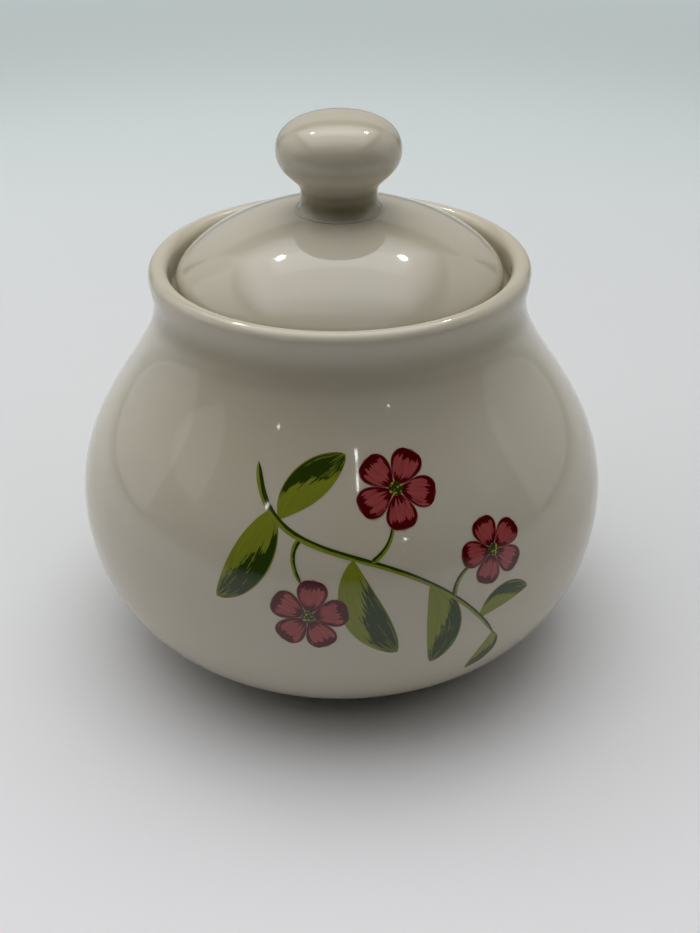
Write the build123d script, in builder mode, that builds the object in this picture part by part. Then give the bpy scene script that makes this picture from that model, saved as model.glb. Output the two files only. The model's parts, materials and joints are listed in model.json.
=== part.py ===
from build123d import *
import os

# A squat round ceramic storage jar with a domed lid that lifts off by its knob.
# Sizes are in millimetres. +Z is up, the decorated front faces -Y, and the origin is
# the middle of the foot, on the surface that the jar stands on.

# Jar, outside
belly_diameter = 120.0
belly_height = 34.5
rim_height = 90.0
rim_diameter = 82.8
lip_thickness = 4.2
neck_inset = 0.7
neck_drop = 8.5

# Jar, inside
wall_thickness = 4.2
floor_thickness = 4.4

# Foot ring, the bare clay ring that the jar stands on
foot_diameter = 72.0
foot_width = 4.0
foot_height = 1.8
foot_margin = 2.0
foot_round = 0.7

# Gallery, the ledge inside the mouth that carries the lid
seat_depth = 6.6
ledge_width = 5.2
ledge_thickness = 3.2
ledge_root_drop = 1.6
gallery_round = 1.0
ledge_round = 0.8
ledge_root_round = 1.2

# Lid
lid_clearance = 1.65
lid_edge_height = 3.3
dome_rise = 13.9
lid_thickness = 4.0
lid_edge_round = 1.2
flange_clearance = 1.0
flange_thickness = 3.0
flange_depth = 6.0
flange_round = 0.9
flange_root_round = 0.6

# Knob, formed by itself and stuck to the crown of the lid
knob_diameter = 26.5
knob_height = 20.3
knob_head_height = 12.85
stem_diameter = 16.3
stem_waist_height = 4.0
stem_flare = 1.0
crown_margin = 0.15

# Shares that shape the curves, each of the rise or reach of its own curve
lip_handle_share = 0.40
neck_handle_share = 0.43
shoulder_top_share = 0.21
shoulder_reach_share = 0.53
shoulder_drop_share = 0.43
belly_above_share = 0.357
belly_below_share = 0.390
haunch_reach_share = 0.218
haunch_drop_share = 0.863
base_handle_share = 0.144
dome_edge_share = 0.223
dome_crown_reach_share = 0.624
dome_crown_drop_share = 0.175
vault_edge_share = 0.50
vault_crown_share = 0.60
flare_bend_share = 0.25
stem_handle_share = 0.37
head_below_share = 0.564
head_above_share = 0.827
head_crown_share = 0.418

# Radii and heights that follow from the sizes above
belly_radius = belly_diameter / 2
rim_radius = rim_diameter / 2
rim_inner_radius = rim_radius - lip_thickness
lip_round = lip_thickness / 2
lip_centre_height = rim_height - lip_round
neck_radius = rim_radius - neck_inset
neck_height = rim_height - neck_drop
foot_radius = foot_diameter / 2
base_radius = foot_radius + foot_margin
floor_height = foot_height + floor_thickness
floor_radius = base_radius - wall_thickness
seat_height = rim_height - seat_depth
throat_radius = rim_inner_radius - ledge_width
ledge_bottom_height = seat_height - ledge_thickness
ledge_root_height = ledge_bottom_height - ledge_root_drop
inner_neck_radius = neck_radius - wall_thickness
inner_neck_height = ledge_root_height - ledge_root_round
lid_radius = rim_inner_radius - lid_clearance
lid_edge_level = seat_height + lid_edge_height
crown_height = lid_edge_level + dome_rise
vault_height = crown_height - lid_thickness
flange_radius = throat_radius - flange_clearance
flange_inner_radius = flange_radius - flange_thickness
flange_bottom_height = seat_height - flange_depth
stem_radius = stem_diameter / 2
knob_radius = knob_diameter / 2
knob_foot_radius = stem_radius + stem_flare
crown_radius = knob_foot_radius + crown_margin
knob_head_level = crown_height + knob_head_height
knob_top_height = crown_height + knob_height
stem_waist_level = crown_height + stem_waist_height


def belly_curve(neck, widest, base):
    """Draw a wall from the neck over the shoulder to its widest circle and in to the base."""
    reach = widest[0] - neck[0]
    drop = neck[1] - widest[1]
    Bezier(
        neck,
        (neck[0], neck[1] - shoulder_top_share * drop),
        (neck[0] + shoulder_reach_share * reach, neck[1] - shoulder_drop_share * drop),
        (widest[0], widest[1] + belly_above_share * drop),
        widest,
    )
    tuck = widest[0] - base[0]
    fall = widest[1] - base[1]
    Bezier(
        widest,
        (widest[0], widest[1] - belly_below_share * fall),
        (widest[0] - haunch_reach_share * tuck, widest[1] - haunch_drop_share * fall),
        (base[0] + base_handle_share * tuck, base[1]),
        base,
    )


# Jar body: half of its section, turned once round the axis
with BuildPart() as jar_body:
    with BuildSketch(Plane.XZ):
        with BuildLine():
            # Inside, from the middle of the floor up to the gallery
            Line((0, floor_height), (floor_radius, floor_height))
            belly_curve(
                neck=(inner_neck_radius, inner_neck_height),
                widest=(belly_radius - wall_thickness, belly_height),
                base=(floor_radius, floor_height),
            )
            # Underside of the ledge, throat, seat of the lid and inner wall of the rim
            FilletPolyline(
                (inner_neck_radius, inner_neck_height),
                (inner_neck_radius, ledge_root_height),
                (throat_radius, ledge_bottom_height),
                (throat_radius, seat_height),
                (rim_inner_radius, seat_height),
                (rim_inner_radius, lip_centre_height),
                radius=[ledge_root_round, ledge_round, ledge_round, gallery_round],
            )
            # Rounded lip, then the slight hollow of the neck under it
            ThreePointArc(
                (rim_inner_radius, lip_centre_height),
                (rim_inner_radius + lip_round, rim_height),
                (rim_radius, lip_centre_height),
            )
            neck_fall = lip_centre_height - neck_height
            Bezier(
                (rim_radius, lip_centre_height),
                (rim_radius, lip_centre_height - lip_handle_share * neck_fall),
                (neck_radius, neck_height + neck_handle_share * neck_fall),
                (neck_radius, neck_height),
            )
            # Outside of the shoulder and belly, down to the flat base
            belly_curve(
                neck=(neck_radius, neck_height),
                widest=(belly_radius, belly_height),
                base=(base_radius, foot_height),
            )
            Line((base_radius, foot_height), (0, foot_height))
            Line((0, foot_height), (0, floor_height))
        make_face()
    revolve(axis=Axis.Z)

# Foot ring: a low ring with rounded standing edges, flat where it meets the base
with BuildPart() as foot_ring:
    with BuildSketch(Plane.XZ):
        with BuildLine():
            FilletPolyline(
                (foot_radius, foot_height),
                (foot_radius, 0),
                (foot_radius - foot_width, 0),
                (foot_radius - foot_width, foot_height),
                radius=foot_round,
            )
            Line((foot_radius - foot_width, foot_height), (foot_radius, foot_height))
        make_face()
    revolve(axis=Axis.Z)

# Lid: a domed shell with a flat seat and a flange that keeps it in the throat
with BuildPart() as lid:
    with BuildSketch(Plane.XZ):
        with BuildLine():
            # Hollow underside, from its middle to the inside of the flange
            Bezier(
                (0, vault_height),
                (vault_crown_share * flange_inner_radius, vault_height),
                (
                    flange_inner_radius,
                    lid_edge_level + vault_edge_share * (vault_height - lid_edge_level),
                ),
                (flange_inner_radius, lid_edge_level),
            )
            # Flange, seat and the upright edge of the lid
            FilletPolyline(
                (flange_inner_radius, lid_edge_level),
                (flange_inner_radius, flange_bottom_height),
                (flange_radius, flange_bottom_height),
                (flange_radius, seat_height),
                (lid_radius, seat_height),
                (lid_radius, lid_edge_level),
                radius=[flange_round, flange_round, flange_root_round, lid_edge_round],
            )
            # Dome, up to the flat of the crown that the knob is stuck to
            dome_reach = lid_radius - crown_radius
            Bezier(
                (lid_radius, lid_edge_level),
                (lid_radius, lid_edge_level + dome_edge_share * dome_rise),
                (
                    crown_radius + dome_crown_reach_share * dome_reach,
                    crown_height - dome_crown_drop_share * dome_rise,
                ),
                (crown_radius, crown_height),
            )
            Line((crown_radius, crown_height), (0, crown_height))
            Line((0, crown_height), (0, vault_height))
        make_face()
    revolve(axis=Axis.Z)

# Knob: a flattened ball on a short stem that flares a little where it meets the lid
with BuildPart() as lid_knob:
    with BuildSketch(Plane.XZ):
        with BuildLine():
            Line((0, crown_height), (knob_foot_radius, crown_height))
            Bezier(
                (knob_foot_radius, crown_height),
                (stem_radius, crown_height + flare_bend_share * stem_waist_height),
                (stem_radius, stem_waist_level),
            )
            head_rise = knob_head_level - stem_waist_level
            Bezier(
                (stem_radius, stem_waist_level),
                (stem_radius, stem_waist_level + stem_handle_share * head_rise),
                (knob_radius, knob_head_level - head_below_share * head_rise),
                (knob_radius, knob_head_level),
            )
            cap_rise = knob_top_height - knob_head_level
            Bezier(
                (knob_radius, knob_head_level),
                (knob_radius, knob_head_level + head_above_share * cap_rise),
                (head_crown_share * knob_radius, knob_top_height),
                (0, knob_top_height),
            )
            Line((0, knob_top_height), (0, crown_height))
        make_face()
    revolve(axis=Axis.Z)

# Names and files
jar_body.part.label = "jar_body"
foot_ring.part.label = "foot_ring"
lid.part.label = "lid"
lid_knob.part.label = "lid_knob"

os.makedirs("parts", exist_ok=True)
export_step(jar_body.part, "parts/jar_body.step")
export_step(foot_ring.part, "parts/foot_ring.step")
export_step(lid.part, "parts/lid.step")
export_step(lid_knob.part, "parts/lid_knob.step")
print(f"belly {belly_diameter:.1f} mm across, {knob_top_height:.1f} mm high to the top of the knob")
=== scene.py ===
# %% [markdown]
# # A round table jar with a lid
# This lesson dresses a small lidded storage jar of glazed ceramic. The jar was measured and
# drawn as solids first, and those solids come in as a fixed frame. Every visible piece here is
# modelled around that frame, in the same place and at the same size, and gets a finish of its
# own: a glossy ivory glaze, bare fired clay on the standing ring and a printed spray of flowers.

import bisect
import json
import math

import bmesh
import bpy
from mathutils import Matrix, Vector
from mathutils.geometry import interpolate_bezier

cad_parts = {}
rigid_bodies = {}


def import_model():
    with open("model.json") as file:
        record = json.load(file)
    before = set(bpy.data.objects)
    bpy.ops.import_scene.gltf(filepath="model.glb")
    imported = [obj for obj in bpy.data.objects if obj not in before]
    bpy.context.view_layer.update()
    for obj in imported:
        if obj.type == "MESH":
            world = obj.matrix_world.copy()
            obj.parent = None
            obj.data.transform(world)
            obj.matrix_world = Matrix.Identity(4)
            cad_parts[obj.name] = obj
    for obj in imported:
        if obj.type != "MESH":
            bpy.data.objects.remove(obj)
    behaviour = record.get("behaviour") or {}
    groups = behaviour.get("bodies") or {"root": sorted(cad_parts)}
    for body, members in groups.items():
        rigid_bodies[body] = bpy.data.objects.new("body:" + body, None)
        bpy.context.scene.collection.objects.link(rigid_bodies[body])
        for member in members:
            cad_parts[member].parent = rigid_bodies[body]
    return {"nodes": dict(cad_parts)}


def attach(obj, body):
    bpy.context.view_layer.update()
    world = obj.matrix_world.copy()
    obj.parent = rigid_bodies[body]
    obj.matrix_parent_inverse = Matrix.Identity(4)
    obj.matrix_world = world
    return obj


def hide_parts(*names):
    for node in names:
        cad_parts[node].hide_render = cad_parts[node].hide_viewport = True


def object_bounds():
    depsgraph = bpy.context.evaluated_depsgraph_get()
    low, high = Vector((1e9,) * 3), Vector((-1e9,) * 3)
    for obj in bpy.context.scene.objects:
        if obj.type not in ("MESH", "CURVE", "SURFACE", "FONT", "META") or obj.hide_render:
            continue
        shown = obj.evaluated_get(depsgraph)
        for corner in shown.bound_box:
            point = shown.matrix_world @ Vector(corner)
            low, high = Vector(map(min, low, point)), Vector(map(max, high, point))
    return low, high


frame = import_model()
cad_low, cad_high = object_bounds()
MM = 0.001
height_mm = (cad_high.z - cad_low.z) / MM
print("solids:", ", ".join(sorted(frame["nodes"])))
print(f"the jar is {height_mm:.1f} mm high to the top of its knob")

# %% [markdown]
# ## Drawing a section
# A jar like this is cast or thrown round one upright axis, so half of its section tells all of
# its shape. In Blender a section can be drawn as a chain of vertices, but a smooth wall needs
# many of them, set just right. Splines are easier: a NURBS spline whose order equals its number
# of points is one smooth curve from its first point to its last, pulled towards the points
# between. With three points and the right weight on the middle one, it is a true circular arc,
# which is what the rounded edges need.

# %% Runs of a section
def pulled(*points):
    """One smooth run from the first point to the last, as (points, weight of the middle ones)."""
    return [Vector(p) for p in points], 1.0


def arc(start, corner, end):
    """A circular arc that leaves the start and meets the end along the lines to the corner."""
    first, middle, last = Vector(start), Vector(corner), Vector(end)
    turn = (middle - first).angle(last - middle)
    return [first, middle, last], math.cos(turn / 2)


def rounded(corners, radii):
    """Straight runs through the corners, with an arc of the given radius at each inner one."""
    runs = []
    here = Vector(corners[0])
    for before, corner, after, radius in zip(corners, corners[1:], corners[2:], radii):
        corner = Vector(corner)
        back = (Vector(before) - corner).normalized()
        ahead = (Vector(after) - corner).normalized()
        reach = radius / math.tan(back.angle(ahead) / 2)
        start = corner + back * reach
        end = corner + ahead * reach
        runs.append(pulled(here, start))
        runs.append(arc(start, corner, end))
        here = end
    runs.append(pulled(here, corners[-1]))
    return runs


print("one rounded corner takes", len(rounded([(0, 1), (0, 0), (1, 0)], [0.5])), "runs")

# %% [markdown]
# The runs of a section become the splines of one curve object. Each spline gets as many steps
# as its length needs, so that all edges of the section come out about equally long.

# %% Draw a section
EDGE = 0.85


def draw_section(name, runs):
    """Draw runs of (radius, height) points in millimetres on the XZ plane, as one curve object."""
    bpy.ops.object.select_all(action="DESELECT")
    bpy.ops.curve.primitive_nurbs_path_add(location=(0, 0, 0))
    curve = bpy.context.object
    curve.name = name
    curve.data.splines.clear()
    for points, weight in runs:
        spline = curve.data.splines.new("NURBS")
        spline.points.add(len(points) - 1)
        for number, (knot, point) in enumerate(zip(spline.points, points)):
            inner = 0 < number < len(points) - 1
            knot.co = (point.x * MM, 0, point.y * MM, weight if inner else 1)
        spline.order_u = len(points)
        spline.use_endpoint_u = True
        length = sum((b - a).length for a, b in zip(points, points[1:]))
        spline.resolution_u = max(3, round(length / EDGE / (len(points) - 1)))
    return curve


print("sections are drawn with edges of about", EDGE, "mm")

# %% [markdown]
# ## Turning a section
# Blender's Spin does what the potter's wheel does: it sweeps the section round the axis and
# leaves a skin of faces behind. The Screw modifier could do the same, but Spin works on the
# mesh at once, so the seam where the last step meets the first, and the poles on the axis, can
# be welded straight away. The faces are then turned outwards, and only corners sharper than a
# set angle stay crisp.

# %% Turning helper
STEPS = 160
WELD = 0.000001
CRISP = math.radians(40)


def turn(curve):
    """Spin the section once round the Z axis and return it as a closed, smooth mesh object."""
    bpy.ops.object.select_all(action="DESELECT")
    bpy.context.view_layer.objects.active = curve
    curve.select_set(True)
    bpy.ops.object.convert(target="MESH")
    piece = bpy.context.object
    bpy.ops.object.mode_set(mode="EDIT")
    bpy.ops.mesh.select_all(action="SELECT")
    bpy.ops.mesh.remove_doubles(threshold=WELD)
    bpy.ops.mesh.spin(steps=STEPS, angle=2 * math.pi, center=(0, 0, 0), axis=(0, 0, 1))
    bpy.ops.mesh.select_all(action="SELECT")
    bpy.ops.mesh.remove_doubles(threshold=WELD)
    bpy.ops.mesh.normals_make_consistent(inside=False)
    bpy.ops.object.mode_set(mode="OBJECT")
    bpy.ops.object.shade_smooth_by_angle(angle=CRISP)
    return piece


def report(piece):
    """Print how large a piece is and how many faces it has."""
    low = [min(v.co[i] for v in piece.data.vertices) / MM for i in range(3)]
    high = [max(v.co[i] for v in piece.data.vertices) / MM for i in range(3)]
    sizes = " x ".join(f"{b - a:.1f}" for a, b in zip(low, high))
    print(f"{piece.name}: {sizes} mm, {len(piece.data.polygons)} faces, from z {low[2]:.1f}")


print("pieces are turned in", STEPS, "steps")

# %% [markdown]
# ## The jar
# The body is one hollow shell about 4 mm thick. Outside, a rounded lip stands on a slightly
# hollow neck, the shoulder slopes away from it into a full round belly, and the wall tucks in
# to a small flat base. Inside, a ledge under the lip carries the lid. All of its sizes are in
# millimetres, and heights are above the table.

# %% Sizes of the jar
RIM_TOP = 90.0
RIM_RADIUS = 41.4
RIM_INNER = 37.2
LIP = 2.1
LIP_CENTRE = RIM_TOP - LIP
NECK_RADIUS, NECK_HEIGHT = 40.7, 81.5
BELLY_RADIUS, BELLY_HEIGHT = 60.0, 34.5
BASE_RADIUS, BASE_HEIGHT = 38.0, 1.8
WALL = 4.2
FLOOR_HEIGHT = 6.2
SEAT = 83.4
THROAT = 32.0
LEDGE_BOTTOM = 80.2
LEDGE_ROOT = 78.6
INNER_NECK = (NECK_RADIUS - WALL, 77.4)
GALLERY_ROUNDS = [1.2, 0.8, 0.8, 1.0]
print("the jar is", 2 * BELLY_RADIUS, "mm across and", RIM_TOP, "mm high to its rim")

# %% [markdown]
# The wall has the same curve inside and outside, so one function draws both, as two runs that
# meet at the widest circle. It places the points between by shares: of the reach and the drop of
# the shoulder above that circle, and of the tuck and the fall of the haunch below it. The same
# shares then give a wall of any size the same roundness.

# %% The curve of the belly
SHOULDER_TOP = 0.21
SHOULDER_REACH, SHOULDER_DROP = 0.53, 0.43
BELLY_ABOVE, BELLY_BELOW = 0.357, 0.39
HAUNCH_REACH, HAUNCH_DROP = 0.218, 0.863
BASE_REACH = 0.144


def belly(neck, widest, base):
    """The wall from the neck to the widest circle and from there to the base, as two runs."""
    reach, drop = widest[0] - neck[0], neck[1] - widest[1]
    tuck, fall = widest[0] - base[0], widest[1] - base[1]
    shoulder = pulled(
        neck,
        (neck[0], neck[1] - SHOULDER_TOP * drop),
        (neck[0] + SHOULDER_REACH * reach, neck[1] - SHOULDER_DROP * drop),
        (widest[0], widest[1] + BELLY_ABOVE * drop),
        widest,
    )
    haunch = pulled(
        widest,
        (widest[0], widest[1] - BELLY_BELOW * fall),
        (widest[0] - HAUNCH_REACH * tuck, widest[1] - HAUNCH_DROP * fall),
        (base[0] + BASE_REACH * tuck, base[1]),
        base,
    )
    return [shoulder, haunch]


print("the shoulder reaches out by", round(BELLY_RADIUS - NECK_RADIUS, 1), "mm")

# %% [markdown]
# Now the whole section is drawn as one closed chain: over the inside floor, up the inner wall,
# round the gallery that carries the lid, over the lip, down the outer wall and back under the
# base to the axis. The lip is two quarter circles.

# %% Model the jar
LIP_PULL, NECK_PULL = 0.40, 0.43
inner_base = (BASE_RADIUS - WALL, FLOOR_HEIGHT)
inner_wall = belly(INNER_NECK, (BELLY_RADIUS - WALL, BELLY_HEIGHT), inner_base)
gallery = rounded(
    [
        INNER_NECK,
        (INNER_NECK[0], LEDGE_ROOT),
        (THROAT, LEDGE_BOTTOM),
        (THROAT, SEAT),
        (RIM_INNER, SEAT),
        (RIM_INNER, LIP_CENTRE),
    ],
    GALLERY_ROUNDS,
)
lip = [
    arc((RIM_INNER, LIP_CENTRE), (RIM_INNER, RIM_TOP), (RIM_INNER + LIP, RIM_TOP)),
    arc((RIM_INNER + LIP, RIM_TOP), (RIM_RADIUS, RIM_TOP), (RIM_RADIUS, LIP_CENTRE)),
]
neck_fall = LIP_CENTRE - NECK_HEIGHT
neck = pulled(
    (RIM_RADIUS, LIP_CENTRE),
    (RIM_RADIUS, LIP_CENTRE - LIP_PULL * neck_fall),
    (NECK_RADIUS, NECK_HEIGHT + NECK_PULL * neck_fall),
    (NECK_RADIUS, NECK_HEIGHT),
)
outer_wall = belly(
    (NECK_RADIUS, NECK_HEIGHT), (BELLY_RADIUS, BELLY_HEIGHT), (BASE_RADIUS, BASE_HEIGHT)
)
inside_floor = pulled((0, FLOOR_HEIGHT), inner_base)
underside = pulled((BASE_RADIUS, BASE_HEIGHT), (0, BASE_HEIGHT))
jar_runs = [inside_floor, *inner_wall, *gallery, *lip, neck, *outer_wall, underside]
jar = turn(draw_section("jar", jar_runs))
report(jar)

# %% [markdown]
# ## The standing ring
# Underneath, the jar stands on a low ring. It is wiped clean of glaze before firing, because
# glaze would melt onto the kiln shelf, so it is bare clay. Its two lower edges are rounded by
# the sponge. It could be part of the jar's mesh, but as a piece of its own it keeps its own
# finish.

# %% Model the standing ring
FOOT_OUTER, FOOT_INNER = 36.0, 32.0
FOOT_ROUND = 0.7
foot_runs = rounded(
    [
        (FOOT_OUTER, BASE_HEIGHT),
        (FOOT_OUTER, 0),
        (FOOT_INNER, 0),
        (FOOT_INNER, BASE_HEIGHT),
    ],
    [FOOT_ROUND, FOOT_ROUND],
)
foot_top = pulled((FOOT_INNER, BASE_HEIGHT), (FOOT_OUTER, BASE_HEIGHT))
standing_ring = turn(draw_section("standing_ring", [*foot_runs, foot_top]))
report(standing_ring)

# %% [markdown]
# ## The lid
# The lid is a shallow dome with a rounded edge. Its flat seat rests on the ledge inside the
# mouth, and a flange below the seat keeps it from sliding off. The dome is one smooth run from
# the edge to the small flat crown that the knob is stuck to, and the hollow under it is
# another.

# %% Model the lid
LID_RADIUS = 35.55
LID_EDGE = 86.7
CROWN = 100.6
CROWN_RADIUS = 9.3
VAULT = 96.6
FLANGE_OUTER, FLANGE_INNER, FLANGE_BOTTOM = 31.0, 28.0, 77.4
FLANGE_ROUNDS = [0.9, 0.9, 0.6, 1.2]
VAULT_REACH, VAULT_RISE = 0.60, 0.50
DOME_EDGE, DOME_REACH, DOME_DROP = 0.223, 0.624, 0.175
dome_rise = CROWN - LID_EDGE
dome_reach = LID_RADIUS - CROWN_RADIUS
vault = pulled(
    (0, VAULT),
    (VAULT_REACH * FLANGE_INNER, VAULT),
    (FLANGE_INNER, LID_EDGE + VAULT_RISE * (VAULT - LID_EDGE)),
    (FLANGE_INNER, LID_EDGE),
)
flange = rounded(
    [
        (FLANGE_INNER, LID_EDGE),
        (FLANGE_INNER, FLANGE_BOTTOM),
        (FLANGE_OUTER, FLANGE_BOTTOM),
        (FLANGE_OUTER, SEAT),
        (LID_RADIUS, SEAT),
        (LID_RADIUS, LID_EDGE),
    ],
    FLANGE_ROUNDS,
)
dome = pulled(
    (LID_RADIUS, LID_EDGE),
    (LID_RADIUS, LID_EDGE + DOME_EDGE * dome_rise),
    (CROWN_RADIUS + DOME_REACH * dome_reach, CROWN - DOME_DROP * dome_rise),
    (CROWN_RADIUS, CROWN),
)
crown = pulled((CROWN_RADIUS, CROWN), (0, CROWN))
lid = turn(draw_section("lid_dome", [vault, *flange, dome, crown]))
report(lid)

# %% [markdown]
# ## The knob
# The knob is a flattened ball on a short stem that flares a little where it meets the lid. A
# ball could start from a sphere, but a section gives the stem and the head one smooth outline.
# The head is two runs, one below its widest circle and one above it, so that it can be flatter
# on top.

# %% Model the knob
STEM_FOOT = 9.15
STEM_RADIUS = 8.15
STEM_WAIST = 104.6
KNOB_RADIUS = 13.25
KNOB_MIDDLE = 113.45
KNOB_TOP = 120.9
FLARE_BEND, STEM_PULL = 0.25, 0.37
HEAD_BELOW, HEAD_ABOVE, HEAD_CROWN = 0.564, 0.827, 0.418
waist_rise = STEM_WAIST - CROWN
head_rise = KNOB_MIDDLE - STEM_WAIST
cap_rise = KNOB_TOP - KNOB_MIDDLE
knob_runs = [
    pulled((0, CROWN), (STEM_FOOT, CROWN)),
    pulled(
        (STEM_FOOT, CROWN),
        (STEM_RADIUS, CROWN + FLARE_BEND * waist_rise),
        (STEM_RADIUS, STEM_WAIST),
    ),
    pulled(
        (STEM_RADIUS, STEM_WAIST),
        (STEM_RADIUS, STEM_WAIST + STEM_PULL * head_rise),
        (KNOB_RADIUS, KNOB_MIDDLE - HEAD_BELOW * head_rise),
        (KNOB_RADIUS, KNOB_MIDDLE),
    ),
    pulled(
        (KNOB_RADIUS, KNOB_MIDDLE),
        (KNOB_RADIUS, KNOB_MIDDLE + HEAD_ABOVE * cap_rise),
        (HEAD_CROWN * KNOB_RADIUS, KNOB_TOP),
        (0, KNOB_TOP),
    ),
]
knob = turn(draw_section("knob", knob_runs))
report(knob)

# %% [markdown]
# ## The bead of slip
# The knob is formed by itself and stuck to the lid with slip. The slip squeezed out of the joint
# leaves a fine bead round the foot of the stem, which the glaze rounds off. It is a tiny turned
# piece of its own, because it is what makes the joint look real. Its lower half is sunk in the
# lid, so that no gap shows.

# %% Model the bead
BEAD = 0.32
BEAD_OUT = 0.05
bead_middle = STEM_FOOT + BEAD_OUT
bead_in, bead_out = bead_middle - BEAD, bead_middle + BEAD
bead_runs = [
    arc((bead_in, CROWN), (bead_in, CROWN + BEAD), (bead_middle, CROWN + BEAD)),
    arc((bead_middle, CROWN + BEAD), (bead_out, CROWN + BEAD), (bead_out, CROWN)),
    pulled((bead_out, CROWN), (bead_middle, CROWN - BEAD), (bead_in, CROWN)),
]
bead = turn(draw_section("stem_bead", bead_runs))
report(bead)

# %% [markdown]
# ## Writing materials as sums
# A finish is a handful of nodes, and sums such as 1 - mask read better than wiring. The small
# class here wraps the output of a node, and its operators add the Math nodes of a sum.

# %% Sums on sockets
class Wire:
    """An output socket. A sum on wires adds the Math nodes that work it out."""

    def __init__(self, recipe, socket):
        self.recipe = recipe
        self.socket = socket

    def math(self, operation, first, second=0.0):
        """Add one Math node, fed by wires or plain values."""
        return self.recipe.node("ShaderNodeMath", {"operation": operation}, {0: first, 1: second})

    def __add__(self, other):
        return self.math("ADD", self, other)

    def __radd__(self, other):
        return self.math("ADD", other, self)

    def __sub__(self, other):
        return self.math("SUBTRACT", self, other)

    def __rsub__(self, other):
        return self.math("SUBTRACT", other, self)

    def __mul__(self, other):
        return self.math("MULTIPLY", self, other)

    def __rmul__(self, other):
        return self.math("MULTIPLY", other, self)

    def __abs__(self):
        return self.math("ABSOLUTE", self)

    def larger(self, other):
        """The larger of two values."""
        return self.math("MAXIMUM", self, other)

    def step(self, low, high):
        """Rise smoothly from 0 at low to 1 at high."""
        settings = {"interpolation_type": "SMOOTHSTEP"}
        return self.recipe.node("ShaderNodeMapRange", settings, {0: self, 1: low, 2: high})


print("sums on sockets are ready")

# %% [markdown]
# A recipe holds the nodes of one material. One method adds any node: it takes the type, the
# settings and what goes into its sockets, which may be a wire or a plain value. A second mixes
# colours, since a Math node would turn them grey. Two short ones add the noise and the bump that
# most finishes need, and the last one feeds the shader itself.

# %% Recipes
class Recipe:
    """The nodes of one material."""

    def __init__(self, name):
        self.material = bpy.data.materials.new(name)
        self.material.use_nodes = True
        self.tree = self.material.node_tree
        self.shader = self.tree.nodes["Principled BSDF"]

    def node(self, kind, settings=None, sockets=None, output=0):
        """Add a node, set it up, feed its sockets and return one of its outputs."""
        made = self.tree.nodes.new(kind)
        for key, value in (settings or {}).items():
            setattr(made, key, value)
        for key, value in (sockets or {}).items():
            self.feed(made.inputs[key], value)
        return Wire(self, made.outputs[output])

    def feed(self, socket, value):
        """Link a wire to a socket, or set the socket to a plain value."""
        if isinstance(value, Wire):
            self.tree.links.new(value.socket, socket)
        else:
            socket.default_value = value

    def blend(self, factor, first, second):
        """Mix two colours, from the first at 0 to the second at 1."""
        settings = {"data_type": "RGBA"}
        return self.node("ShaderNodeMix", settings, {0: factor, 6: first, 7: second}, output=2)

    def noise(self, place, scale, detail):
        """Cloudy noise from 0 to 1, with a scale in clouds per metre."""
        sockets = {"Vector": place, "Scale": scale, "Detail": detail}
        return self.node("ShaderNodeTexNoise", None, sockets)

    def bump(self, strength, distance, height):
        """Tilt the surface as if it rose by up to a distance in metres."""
        sockets = {"Strength": strength, "Distance": distance, "Height": height}
        return self.node("ShaderNodeBump", None, sockets)

    def finish(self, **sockets):
        """Feed the shader's own sockets, named with _ for a space, and return the material."""
        for key, value in sockets.items():
            self.feed(self.shader.inputs[key.replace("_", " ")], value)
        return self.material


print("recipes are ready")

# %% [markdown]
# Colours are easiest to judge as a screen shows them, from 0 to 255, but a socket wants the
# amount of light. The formula of the sRGB standard leads from one to the other.

# %% Colours
def paint(red, green, blue):
    """A colour as it is read off a screen, from 0 to 255, as the linear colour of a socket."""
    linear = []
    for part in (red, green, blue):
        share = part / 255
        linear.append(share / 12.92 if share <= 0.04045 else ((share + 0.055) / 1.055) ** 2.4)
    return (*linear, 1.0)


print("a mid grey of 128 is", round(paint(128, 128, 128)[0], 3), "in linear light")

# %% [markdown]
# ## The glaze
# The glaze is a thin layer of glass over a pale clay: ivory with slightly warmer clouds in it,
# with hardly any grain and a wet gloss. Gloss comes from a low roughness on the shader, and the
# slight waver of its reflections from a very shallow bump, because a fired glaze never settles
# perfectly flat. A few iron specks the size of a pinhead sit in it. In a hollow, such as the
# neck under the lip or the waist of the stem under the knob, the glaze is darker: partly glaze
# that runs together there, partly painted shade where little light reaches. The lid, the knob
# and the bead get a darker copy of the same mix, which is painted shade. All of it reads the
# piece's own coordinates, so it stays put when the lid is lifted. A scale is the number of
# clouds, grains or specks in a metre.

# %% Mix the glaze
IVORY = paint(199, 192, 174)
IVORY_WARM = paint(195, 185, 161)
# The deep tone of the hollows is pooled glaze and painted shade.
IVORY_POOLED_AND_SHADED = paint(132, 122, 82)
SPECK = paint(112, 92, 66)
CLOUD_SCALE, GRAIN_SCALE, SPECK_SCALE, RIPPLE_SCALE = 28, 420, 62, 95
SPECK_WIDTH = 0.055
SPECK_SHARE = (0.955, 0.96)
RIPPLE_DEPTH = 0.00012
GLASS_IOR = 1.5
BLACK = (0, 0, 0, 1)


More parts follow.
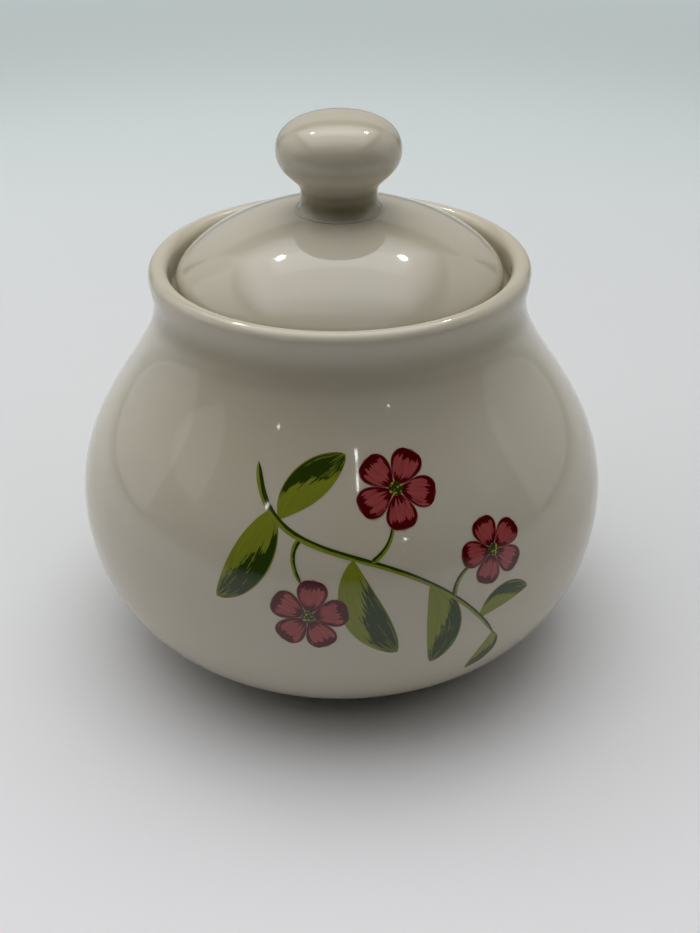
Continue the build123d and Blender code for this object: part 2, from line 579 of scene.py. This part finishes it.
def mix_glaze(name, light, hollow, reach, depth):
    """An ivory glaze. Within a reach of the height of a hollow it is deeper by a share, as pooled
    glaze and painted shade, and a light below 1 darkens all of it as painted shade.
    """
    recipe = Recipe(name)
    place = recipe.node("ShaderNodeTexCoord", output=3)
    cloud = recipe.noise(place, CLOUD_SCALE, detail=2)
    grain = recipe.noise(place, GRAIN_SCALE, detail=2)
    body = recipe.blend(cloud.step(0.35, 0.75) * 0.55, IVORY, IVORY_WARM)
    cells = {"Vector": place, "Scale": SPECK_SCALE}
    near = recipe.node("ShaderNodeTexVoronoi", None, cells)
    pick = recipe.node("ShaderNodeTexVoronoi", None, cells, output=1)
    chosen = recipe.node("ShaderNodeSeparateColor", None, {0: pick}).step(*SPECK_SHARE)
    spot = (1 - near.step(SPECK_WIDTH * 0.5, SPECK_WIDTH)) * chosen
    colour = recipe.blend(spot * 0.6, body, SPECK)
    height = recipe.node("ShaderNodeSeparateXYZ", None, {0: place}, output=2)
    # Painted shade with pooled glaze: the glaze darkens near the height of the hollow.
    pooled_and_shaded = 1 - abs(height - hollow * MM).step(0, reach * MM)
    colour = recipe.blend(pooled_and_shaded * depth, colour, IVORY_POOLED_AND_SHADED)
    # Painted shade: a light below 1 darkens the whole glaze towards black.
    colour = recipe.blend(1 - light, colour, BLACK)
    ripple = recipe.noise(place, RIPPLE_SCALE, detail=1)
    bump = recipe.bump(0.35, RIPPLE_DEPTH, ripple + grain * 0.06)
    gloss = 0.04 + cloud * 0.03
    return recipe.finish(Base_Color=colour, Roughness=gloss, IOR=GLASS_IOR, Normal=bump)


# The neck under the lip gets painted shade with the pooled glaze.
jar_glaze = mix_glaze("ivory_glaze", light=1.0, hollow=NECK_HEIGHT, reach=6, depth=0.52)
# The stem's waist under the knob gets painted shade with the pooled glaze.
waist = STEM_WAIST - 0.8
# The lid, the knob and the bead take a copy with a light of 0.92, which is painted shade.
shaded_lid_glaze = mix_glaze("ivory_glaze_lid", light=0.92, hollow=waist, reach=3.6, depth=1.0)
for piece, glaze in ((jar, jar_glaze), (lid, shaded_lid_glaze), (knob, shaded_lid_glaze), (bead, shaded_lid_glaze)):
    piece.data.materials.clear()
    piece.data.materials.append(glaze)
print("the glaze is on", jar.name, lid.name, knob.name, bead.name)

# %% [markdown]
# ## The bare clay
# Where the glaze is wiped off, the fired clay is matt, slightly warmer than the glaze and finely
# grained, and rubbed a little darker where the ring touches the table. The standing face is
# found by its height, so the colour change needs no extra mesh.

# %% Mix the bare clay
CLAY = paint(205, 192, 170)
CLAY_RUBBED = paint(168, 154, 134)
GRIT_SCALE, BLOTCH_SCALE = 900, 120
GRIT_DEPTH = 0.0001
RUBBED_HEIGHT = 0.6 * MM

recipe = Recipe("bare_clay")
place = recipe.node("ShaderNodeTexCoord", output=3)
height = recipe.node("ShaderNodeSeparateXYZ", None, {0: place}, output=2)
grain = recipe.noise(place, GRIT_SCALE, detail=4)
blotch = recipe.noise(place, BLOTCH_SCALE, detail=2)
rubbed = (1 - height.step(0, RUBBED_HEIGHT)) * blotch.step(0.3, 0.7)
clay_colour = recipe.blend(grain.step(0.3, 0.7) * 0.4, CLAY, CLAY_RUBBED)
clay_colour = recipe.blend(rubbed * 0.7, clay_colour, CLAY_RUBBED)
grit = recipe.bump(0.5, GRIT_DEPTH, grain)
bare_clay = recipe.finish(Base_Color=clay_colour, Roughness=0.82 + grain * 0.12, Normal=grit)
standing_ring.data.materials.clear()
standing_ring.data.materials.append(bare_clay)
print("the standing ring is bare clay")

# %% [markdown]
# ## Stand the pieces on the frame
# Each turned piece stands for one solid of the frame, so that solid is hidden and the piece
# takes over its place in the motion: the jar and its ring stay where they are, and the lid,
# the knob and the bead go up together when the lid is lifted.

# %% Tie the pieces to their bodies
for piece, node, body, slot in (
    (jar, "jar_body", "jar", "glaze"),
    (standing_ring, "foot_ring", "jar", "bare_clay"),
    (lid, "lid", "lid", "glaze"),
    (knob, "lid_knob", "lid", "glaze"),
):
    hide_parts(node)
    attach(piece, body)
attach(bead, "lid")
print("five turned pieces are tied to the jar and the lid")

# %% [markdown]
# ## The printed spray
# The front of the jar carries a small spray of flowers. On such ware it is a transfer: it is
# printed flat, slid onto the glaze and fired, so it has crisp edges and no thickness that a
# finger could feel. It could be painted in the glaze's own material, but as thin pieces it keeps
# its crisp edges when the model is exported. Every leaf, petal and stalk is one brush stroke: a
# flat grid, whose UV map runs along the stroke and across it, so that its colours follow the
# brush. Places are measured as on the flat transfer: in millimetres to the right of the middle,
# round the belly, and up from its widest circle, along the wall. To find them on the jar, the
# wall is felt from outside with rays, from the lowest height to the highest.

# %% Feel the wall for the transfer
FEEL = 0.5
FEELS_BELOW, FEELS_ABOVE = 58, 82
IN_FRONT = 100


def wall_at(height):
    """How far the outside of the jar is from the axis at a height, in millimetres."""
    place = jar.ray_cast((0, -IN_FRONT * MM, height * MM), (0, 1, 0))[1]
    return -place.y / MM


heights = [BELLY_HEIGHT + FEEL * number for number in range(-FEELS_BELOW, FEELS_ABOVE)]
walls = [wall_at(height) for height in heights]
climbs = [0.0]
for number in range(1, len(heights)):
    climbs.append(climbs[-1] + math.hypot(FEEL, walls[number] - walls[number - 1]))
widest = climbs[heights.index(BELLY_HEIGHT)]
climbs = [climb - widest for climb in climbs]


def on_belly(across, up):
    """The point for a place on the transfer, with the tilt of the wall and the turn round Z."""
    number = bisect.bisect(climbs, up)
    share = (up - climbs[number - 1]) / (climbs[number] - climbs[number - 1])
    wall = walls[number - 1] + share * (walls[number] - walls[number - 1])
    height = heights[number - 1] + share * FEEL
    tilt = math.atan2(walls[number] - walls[number - 1], FEEL)
    turn_round = across / BELLY_RADIUS
    place = Vector((wall * math.sin(turn_round), -wall * math.cos(turn_round), height)) * MM
    return place, tilt, turn_round


def flat(across, up):
    """The same place on the flat transfer, before it is laid on the belly."""
    return Vector((across, 0, up)) * MM, 0.0, 0.0


print(f"the transfer can reach from {climbs[0]:.1f} to {climbs[-1]:.1f} mm along the wall")

# %% [markdown]
# ## Brush strokes
# A stroke has an outline of its own: how wide it is at each share of its length, as a share of
# the width that it is painted at. A few powers and a sine are enough for a leaf, a petal and a
# stalk.

# %% Outlines of the strokes
def leaf_width(along):
    """A leaf is narrow at its root, fullest at about its middle and pointed at its tip."""
    return 2.95 * along**0.8 * (1 - along) ** 0.75


def petal_width(along):
    """A petal widens from a narrow root to a blunt, rounded end."""
    return (0.16 + 0.84 * math.sin(min(along / 0.7, 1) * math.pi / 2)) * (1 - along**6) ** 0.5


def stalk_width(along):
    """A stalk tapers to its tip, and both of its ends are rounded."""
    ends = min(1, 22 * along, 22 * (1 - along)) ** 0.5
    return ends * (1.15 - 0.45 * along)


print("a leaf is at most", round(max(leaf_width(n / 50) for n in range(51)), 2), "of its width")

# %% [markdown]
# Each column of a stroke's grid is scaled to the stroke's width there, turned across its path,
# tilted and turned with the wall, and moved to its place. The columns shrink to a point at a
# pointed end, and those points are merged. Moving columns by hand in edit mode would do the same,
# only slower.

# %% Brush strokes
THIN = 0.001
TIP_WELD = WELD * 5


def stroke(name, path, width, outline, lay, columns, rows=8):
    """Model one stroke: a grid whose columns stand across a curved path of four points."""
    bpy.ops.object.select_all(action="DESELECT")
    bpy.ops.mesh.primitive_grid_add(
        x_subdivisions=columns,
        y_subdivisions=rows,
        size=MM,
        calc_uvs=True,
        rotation=(math.pi / 2, 0, 0),
    )
    piece = bpy.context.object
    piece.name = name
    bpy.ops.object.transform_apply(location=False, rotation=True, scale=False)
    corners = [Vector((across, 0, up)) for across, up in path]
    points = interpolate_bezier(*corners, columns + 1)
    bpy.ops.object.mode_set(mode="EDIT")
    for column, point in enumerate(points):
        ahead = points[min(column + 1, columns)] - points[max(column - 1, 0)]
        middle = Vector((column / columns - 0.5, 0, 0)) * MM
        place, tilt, turn_round = lay(point.x, point.z)
        size = max(width * outline(column / columns), THIN)
        mesh = bmesh.from_edit_mesh(piece.data)
        bpy.ops.mesh.select_all(action="DESELECT")
        mesh.verts.ensure_lookup_table()
        for row in range(rows + 1):
            mesh.verts[row * (columns + 1) + column].select = True
        mesh.select_flush_mode()
        bpy.ops.transform.resize(value=(1, 1, size), center_override=middle)
        lean = math.atan2(ahead.z, ahead.x)
        bpy.ops.transform.rotate(value=lean, orient_axis="Y", center_override=middle)
        bpy.ops.transform.rotate(value=-tilt, orient_axis="X", center_override=middle)
        bpy.ops.transform.rotate(value=-turn_round, orient_axis="Z", center_override=middle)
        bpy.ops.transform.translate(value=place - middle)
    bpy.ops.mesh.select_all(action="SELECT")
    bpy.ops.mesh.remove_doubles(threshold=TIP_WELD)
    bpy.ops.object.mode_set(mode="OBJECT")
    return piece


print("a pointed end is drawn", THIN, "mm wide and then merged")

# %% [markdown]
# The finished stroke is pressed onto the jar by a Shrinkwrap, which leaves it about a tenth of a
# millimetre proud at most, and made a closed film by a Solidify. Stalks lie over leaves and
# flowers over stalks, so each kind is lifted a little more than the last, and no two films fight
# for the same place.

# %% Press a stroke onto the jar
FILM = 0.02
LEAF_LIFT, STALK_LIFT, PETAL_LIFT, POLLEN_LIFT = 0.05, 0.07, 0.09, 0.11


def press_on(piece, lift):
    """Press a stroke onto the jar, proud by a lift in millimetres, and close its film."""
    bpy.ops.object.select_all(action="DESELECT")
    bpy.context.view_layer.objects.active = piece
    piece.select_set(True)
    wrap = piece.modifiers.new("wrap", "SHRINKWRAP")
    wrap.target = jar
    wrap.wrap_method = "NEAREST_SURFACEPOINT"
    wrap.wrap_mode = "ABOVE_SURFACE"
    wrap.offset = lift * MM
    bpy.ops.object.modifier_apply(modifier="wrap")
    film = piece.modifiers.new("film", "SOLIDIFY")
    film.thickness = FILM * MM
    film.offset = -1
    bpy.ops.object.modifier_apply(modifier="film")
    bpy.ops.object.shade_smooth_by_angle(angle=CRISP)
    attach(piece, "jar")


print("each film is", FILM, "mm thick and at most", POLLEN_LIFT, "mm proud")

# %% [markdown]
# ## Inks
# The inks are flat colours that a worn brush laid over each other, so the edge between two of
# them frays into bristle marks. The fraying is a noise that is stretched along the stroke, added
# to the edge of the mask, so it is as ragged as bristles. The noise also changes with the place
# on the jar, so copies of one petal don't look alike.

# %% Ink helpers
ACROSS_JAR, UP_JAR = 90, 140
INK_ROUGHNESS = 0.06


def start_ink(name):
    """A recipe for an ink, with the wires that run along and across the stroke."""
    ink = Recipe(name)
    spread = ink.node("ShaderNodeUVMap")
    along = ink.node("ShaderNodeSeparateXYZ", None, {0: spread})
    across = ink.node("ShaderNodeSeparateXYZ", None, {0: spread}, output=1)
    return ink, along, across


def bristles(ink, along, across, length, count):
    """Noise from 0 to 1 in streaks along the stroke, about count of them side by side."""
    place = ink.node("ShaderNodeTexCoord", output=3)
    side = ink.node("ShaderNodeSeparateXYZ", None, {0: place})
    height = ink.node("ShaderNodeSeparateXYZ", None, {0: place}, output=2)
    shift = side * ACROSS_JAR + height * UP_JAR
    sockets = {0: along * length, 1: across * count, 2: shift}
    streaks = ink.node("ShaderNodeCombineXYZ", None, sockets)
    return ink.noise(streaks, scale=1, detail=3)


def close_ink(ink, colour):
    """Give an ink the gloss of the glaze that it melted into."""
    return ink.finish(Base_Color=colour, Roughness=INK_ROUGHNESS, IOR=GLASS_IOR)


print("the fraying changes over", round(1000 / UP_JAR, 1), "mm up the jar")

# %% [markdown]
# A leaf is light green, with a dark green that was pulled in from the tip, slantwise, so that
# one side of the leaf is darker. A thin light margin stays free, and so do a few gaps between
# the bristles. A stalk is the same two greens, side by side.

# %% Mix the inks of leaves and stalks
LEAF_LIGHT = paint(130, 137, 40)
LEAF_OLIVE = paint(106, 118, 32)
LEAF_DARK = paint(44, 60, 14)

ink, along, across = start_ink("leaf_ink")
fray = bristles(ink, along, across, length=2.2, count=17)
pull = along + (across - 0.5) * 0.75 + (fray - 0.5) * 0.8
dark = pull.step(0.50, 0.53)
inside = (1 - abs(across - 0.5) * 2).step(0.04, 0.08) * (1 - along).step(0.015, 0.03)
gap = (fray + along * 0.3).step(0.80, 0.84)
shade = ink.blend(fray.step(0.3, 0.7) * 0.5, LEAF_LIGHT, LEAF_OLIVE)
leaf_ink = close_ink(ink, ink.blend(dark * inside * (1 - gap), shade, LEAF_DARK))

ink, along, across = start_ink("stalk_ink")
fray = bristles(ink, along, across, length=14, count=3)
dark = (across + (fray - 0.5) * 0.6).step(0.46, 0.54)
stalk_ink = close_ink(ink, ink.blend(dark, LEAF_LIGHT, LEAF_DARK))
print("inks:", leaf_ink.name, stalk_ink.name)

# %% [markdown]
# A petal is rose, with a wine red that gathers at its rim and at its root and runs in streaks.
# The very edge is paler, where the ink thinned out. The middle of a flower is dark green with
# dots of pollen, which are the cells of a Voronoi texture.

# %% Mix the inks of the flowers
WINE = paint(80, 6, 10)
ROSE = paint(164, 76, 74)
ROSE_DEEP = paint(136, 48, 52)
BLUSH = paint(178, 112, 104)
POLLEN = paint(176, 156, 62)
POLLEN_SCALE = 1500

ink, along, across = start_ink("petal_ink")
fray = bristles(ink, along, across, length=1.6, count=12)
side = abs(across - 0.5) * 2
rim = (side * 0.9).larger(along) + (fray - 0.5) * 0.55
root = (1 - along) + (fray - 0.5) * 0.7
wine = rim.step(0.70, 0.73).larger(root.step(0.74, 0.77))
edge = side.larger(along).step(0.93, 1.0)
tone = ink.blend(fray.step(0.35, 0.7) * 0.6, ROSE, ROSE_DEEP)
petal_ink = close_ink(ink, ink.blend(edge * 0.55, ink.blend(wine, tone, WINE), BLUSH))

ink = Recipe("pollen_ink")
place = ink.node("ShaderNodeTexCoord", output=3)
dots = ink.node("ShaderNodeTexVoronoi", None, {"Vector": place, "Scale": POLLEN_SCALE})
pollen_ink = close_ink(ink, ink.blend(1 - dots.step(0.25, 0.5), LEAF_DARK, POLLEN))
print("inks:", petal_ink.name, pollen_ink.name)

# %% [markdown]
# ## Leaves and stalks
# One long stalk falls across the front from the upper left to the lower right. Leaves spring
# from both of its sides, and three short stalks carry the flowers. Each is a stroke along four
# points that pull it into its curve, as (across, up) on the transfer.

# %% Paint the leaves and stalks
leaves = [
    ("leaf_1", [(-15.2, 24.5), (-17, 18), (-19.5, 10), (-26, 4.5)], 8.4),
    ("leaf_2", [(-13.6, 22.6), (-11, 29), (-5, 32), (1.5, 36)], 7.6),
    ("leaf_3", [(2.6, 15.2), (1.5, 6), (6, 0), (11.5, -7)], 8.6),
    ("leaf_4", [(18.3, 8.4), (22, 3), (22.5, -5), (19, -12)], 7.6),
    ("leaf_5", [(29.3, -2.6), (33, 1.5), (37, 2.5), (42, 0.5)], 5.2),
    ("leaf_6", [(33.4, -8), (34.5, -12), (32.5, -16), (29, -19)], 4.8),
]
stalks = [
    ("stalk_main", [(-20.5, 33.5), (-14, 8), (14, 26), (34, -9)], 1.3, 60),
    ("stalk_left", [(-8.6, 19.1), (-10.5, 17), (-10.5, 14), (-8, 10)], 1.0, 14),
    ("stalk_top", [(6.3, 14.4), (9, 16), (11, 18), (11.6, 22)], 1.0, 14),
    ("stalk_right", [(23.4, 4.5), (23.6, 7.5), (25, 9.5), (28, 10.6)], 1.0, 14),
]
for name, path, width in leaves:
    leaf = stroke(name, path, width, leaf_width, on_belly, columns=28)
    leaf.data.materials.append(leaf_ink)
    press_on(leaf, LEAF_LIFT)
for name, path, width, columns in stalks:
    stalk = stroke(name, path, width, stalk_width, on_belly, columns=columns, rows=2)
    stalk.data.materials.append(stalk_ink)
    press_on(stalk, STALK_LIFT)
print(len(leaves), "leaves and", len(stalks), "stalks are on the belly")

# %% [markdown]
# ## Flowers
# All flowers are one flower. A petal is modelled once, flat, and copied round the middle, and
# the five are joined.

# %% Model the petals once
PETALS = 5
FLOWER_RADIUS = 8.0
ROOT = 1.0
PETAL_WIDTH = 0.8 * FLOWER_RADIUS
reach = FLOWER_RADIUS - ROOT
petal_path = [(0, ROOT), (0, ROOT + 0.3 * reach), (0, ROOT + 0.7 * reach), (0, FLOWER_RADIUS)]
petal = stroke("petals", petal_path, PETAL_WIDTH, petal_width, flat, columns=18)
petal.data.materials.append(petal_ink)
for number in range(1, PETALS):
    bpy.ops.object.select_all(action="DESELECT")
    petal.select_set(True)
    bpy.context.view_layer.objects.active = petal
    bpy.ops.object.duplicate(linked=False)
    bpy.ops.transform.rotate(
        value=2 * math.pi * number / PETALS, orient_axis="Y", center_override=(0, 0, 0)
    )
bpy.ops.object.select_all(action="DESELECT")
for copy in [o for o in bpy.data.objects if o.name.startswith("petals")]:
    copy.select_set(True)
bpy.context.view_layer.objects.active = petal
bpy.ops.object.join()
bpy.ops.object.transform_apply(location=True, rotation=True, scale=True)
report(petal)

# %% [markdown]
# A small disc of pollen closes the middle of the flower. It is a circle with an inset ring, and
# the face inside the ring is cut into triangles round its middle, so that the disc can follow
# the round wall.

# %% Model the pollen once
POLLEN_RADIUS, POLLEN_RING = 0.17 * FLOWER_RADIUS, 0.06 * FLOWER_RADIUS
bpy.ops.object.select_all(action="DESELECT")
bpy.ops.mesh.primitive_circle_add(
    vertices=28, radius=POLLEN_RADIUS * MM, fill_type="NGON", rotation=(math.pi / 2, 0, 0)
)
pollen = bpy.context.object
pollen.name = "pollen"
bpy.ops.object.transform_apply(location=True, rotation=True, scale=True)
bpy.ops.object.mode_set(mode="EDIT")
bpy.ops.mesh.select_all(action="SELECT")
bpy.ops.mesh.inset(thickness=POLLEN_RING * MM)
bpy.ops.mesh.poke()
bpy.ops.object.mode_set(mode="OBJECT")
pollen.data.materials.append(pollen_ink)
report(pollen)

# %% [markdown]
# Each flower on the jar is a copy with a mesh of its own, scaled, turned, stood against the wall
# and pressed on like the leaves. The three face a little different ways and are not quite the
# same size. A rotation in the order Y, X, Z turns the flower in its own plane first, then tilts
# it back with the wall and then turns it round the jar. The flat first flower is deleted at the
# end.

# %% Set the flowers on the belly
for name, across, up, size, first in (
    ("flower_left", -6.5, 3.0, 1.03, 8),
    ("flower_top", 13.0, 28.6, 1.05, 30),
    ("flower_right", 33.4, 12.2, 0.94, -14),
):
    place, tilt, turn_round = on_belly(across, up)
    for part, lift in ((petal, PETAL_LIFT), (pollen, POLLEN_LIFT)):
        bpy.ops.object.select_all(action="DESELECT")
        part.select_set(True)
        bpy.context.view_layer.objects.active = part
        bpy.ops.object.duplicate(linked=False)
        copy = bpy.context.object
        copy.name = f"{name}_{part.name}"
        copy.rotation_mode = "YXZ"
        copy.rotation_euler = (tilt, math.radians(first), turn_round)
        copy.scale = (size, size, size)
        copy.location = place
        bpy.ops.object.transform_apply(location=True, rotation=True, scale=True)
        press_on(copy, lift)
    print(name, "is", round(2 * size * FLOWER_RADIUS, 1), "mm across")
bpy.ops.object.select_all(action="DESELECT")
petal.select_set(True)
pollen.select_set(True)
bpy.ops.object.delete()

# %% [markdown]
# ## The floor
# The jar stands on a plain pale surface that runs on to the back, like a sheet of paper. One
# large plane is enough, since nothing but its colour and its soft shadow shows. Its colour is
# painted light: much paler near the front and a cooler tone far back, as the light falls on it.
# The lamps hang close, so they light only its middle. Farther out the camera sees the sheet glow
# in the colour of the room behind it, so that it looks endless from any side. The jar doesn't
# see that glow, and gets no light from it. The fades between the tones are in metres from the
# middle, the first two from front to back and the last one all round.

# %% Lay the floor
# The paper's tones are painted light: paler in front, a cooler tone far back.
PAPER_NEAR_PAINTED_LIGHT = paint(246, 245, 248)
PAPER_MIDDLE = paint(215, 217, 218)
PAPER_FAR_PAINTED_LIGHT = paint(218, 227, 227)
BACKDROP = paint(182, 191, 191)
PAINTED_LIGHT_NEAR_FADE, PAINTED_LIGHT_FAR_FADE, GLOW_FADE = (-0.15, 0.07), (0.15, 0.45), (0.40, 0.80)
FLOOR_SIZE = 8
bpy.ops.object.select_all(action="DESELECT")
bpy.ops.mesh.primitive_plane_add(size=FLOOR_SIZE, location=(0, 0, 0))
floor = bpy.context.object
floor.name = "floor"
recipe = Recipe("paper")
place = recipe.node("ShaderNodeTexCoord", output=3)
depth = recipe.node("ShaderNodeSeparateXYZ", None, {0: place}, output=1)
# Painted light: the colour fades from the pale front through the middle tone to the cool back.
paper_painted_light = recipe.blend(depth.step(*PAINTED_LIGHT_NEAR_FADE), PAPER_NEAR_PAINTED_LIGHT, PAPER_MIDDLE)
paper_painted_light = recipe.blend(depth.step(*PAINTED_LIGHT_FAR_FADE), paper_painted_light, PAPER_FAR_PAINTED_LIGHT)
away = recipe.node("ShaderNodeVectorMath", {"operation": "LENGTH"}, {0: place}, output=1)
seen = recipe.node("ShaderNodeLightPath")
glow = away.step(*GLOW_FADE) * seen
paper_painted_light = recipe.blend(glow, paper_painted_light, BLACK)
glow_colour = recipe.blend(glow, BLACK, BACKDROP)
paper = recipe.finish(
    Base_Color=paper_painted_light, Roughness=0.9, Emission_Color=glow_colour, Emission_Strength=1.0
)
floor.data.materials.append(paper)
print("the floor is", FLOOR_SIZE, "m across and glows beyond", GLOW_FADE[0], "m")

# %% [markdown]
# ## The light
# The jar is lit as in a small light tent, by flat rectangular lamps that all shine at its middle.
# A sun or a point lamp would leave hard shadows. The camera sees no lamp, only what they light.

# %% One soft lamp
JAR_MIDDLE = Vector((0, 0, 0.05))


def panel(name, place, size, watts):
    """A rectangular soft light that shines at the middle of the jar."""
    bpy.ops.object.light_add(type="AREA", location=place)
    lamp = bpy.context.object
    lamp.name = name
    lamp.data.shape = "RECTANGLE"
    lamp.data.size, lamp.data.size_y = size
    lamp.data.energy = watts
    lamp.visible_camera = False
    ahead = JAR_MIDDLE - lamp.location
    lamp.rotation_euler = ahead.to_track_quat("-Z", "Y").to_euler()
    return lamp


print("lamps shine at a point", round(JAR_MIDDLE.z / MM), "mm above the table")

# %% [markdown]
# Five flat sheets of light hang overhead, a little behind the jar, each larger and higher than
# the one before. Where they overlap it is bright, and it fades towards their edges, so that the
# glaze mirrors a soft patch and no hard square. Each hangs a centimetre above the last, because
# Cycles loses light where lamps lie in one plane. Panels at the back and the sides brighten the
# flanks. The front stays dim but for one weak panel, which is why the front of a glossy jar
# looks deeper in tone than its sides.

# %% Hang the sheets and panels
SHEETS = 5
SHEET_STRENGTH = 1.44
SHEET_SIDE, SHEET_BACK, SHEET_HEIGHT = -0.04, 0.21, 0.70
for number in range(SHEETS):
    wide, deep = 0.72 + 0.10 * number, 0.50 + 0.12 * number
    place = (SHEET_SIDE, SHEET_BACK, SHEET_HEIGHT + 0.01 * number)
    sheet = panel(f"ceiling_{number + 1}", place, (wide, deep), SHEET_STRENGTH * wide * deep)
    sheet.rotation_euler = (0, 0, 0)
for name, place, size, watts in (
    ("back_wall", (0, 0.95, 0.35), (1.4, 0.6), 1.1),
    ("back_strip", (0, 0.25, 0.62), (0.5, 0.14), 0.20),
    ("left_wall", (-0.35, 0.12, 0.20), (0.40, 0.35), 0.24),
    ("right_wall", (0.35, 0.12, 0.20), (0.40, 0.35), 0.20),
    ("left_slope", (-0.62, 0.05, 0.45), (0.8, 0.4), 0.50),
    ("right_slope", (0.62, 0.05, 0.45), (0.8, 0.4), 0.17),
    ("front_fill", (-0.05, -0.32, 0.67), (0.9, 0.35), 0.50),
):
    panel(name, place, size, watts)

# %% [markdown]
# Small lamps give the sharp glints on the glaze. A glint shows where the surface mirrors its lamp
# to the camera, so each is placed by the direction that it is seen in from the jar: degrees round
# from the front and up from the table. They are only mirrored. They light nothing else and cast
# no shadows. The room is pale for the camera alone, for the same reason as the floor's glow.

# %% Hang the small lamps and close the room
LAMP_DISTANCE = 0.73


def direction(around, up):
    """The point at the lamps' distance that is seen from the jar at two angles, in degrees."""
    around, up = math.radians(around), math.radians(up)
    side = math.sin(around) * math.cos(up)
    front = -math.cos(around) * math.cos(up)
    return Vector((side, front, math.sin(up))) * LAMP_DISTANCE


for name, around, up, size, watts in (
    ("lamp_left", -146, 58.5, (0.034, 0.024), 0.24),
    ("lamp_right", 145, 57.8, (0.034, 0.024), 0.24),
    ("glint_middle", 7.7, 37.7, (0.011, 0.022), 0.016),
    ("glint_right", 26, 19.8, (0.015, 0.017), 0.012),
    ("glint_left", -33.5, 30.3, (0.015, 0.020), 0.014),
):
    panel(name, direction(around, up), size, watts).visible_diffuse = False

world = bpy.data.worlds.new("room")
world.use_nodes = True
background = world.node_tree.nodes["Background"]
background.inputs["Color"].default_value = BACKDROP
camera_ray = world.node_tree.nodes.new("ShaderNodeLightPath").outputs["Is Camera Ray"]
world.node_tree.links.new(camera_ray, background.inputs["Strength"])
bpy.context.scene.world = world
bpy.context.scene.view_settings.view_transform = "Standard"

# %% [markdown]
# ## The camera
# The photograph looks down at the jar from close by, about thirty degrees below the horizon.
# The place, the pitch and the lens were worked out from the ellipses of the rim and the outline
# of the belly, so the camera is set by numbers rather than by eye. A very small roll makes the
# picture lean as the photograph does.

# %% Set up the camera
CAMERA_PLACE = Vector((1.95, -274.23, 199.69)) * MM
CAMERA_PITCH = math.radians(90 - 30.72)
CAMERA_ROLL = math.radians(-0.35)
LENS = 52.0
bpy.ops.object.camera_add(location=CAMERA_PLACE)
camera = bpy.context.object
camera.name = "camera"
facing = Matrix.Rotation(CAMERA_PITCH, 3, "X") @ Matrix.Rotation(CAMERA_ROLL, 3, "Z")
camera.rotation_euler = facing.to_euler()
camera.data.sensor_width = 36
camera.data.lens = LENS
bpy.context.scene.camera = camera
print("the camera stands", round(CAMERA_PLACE.length / MM), "mm from the foot of the jar")
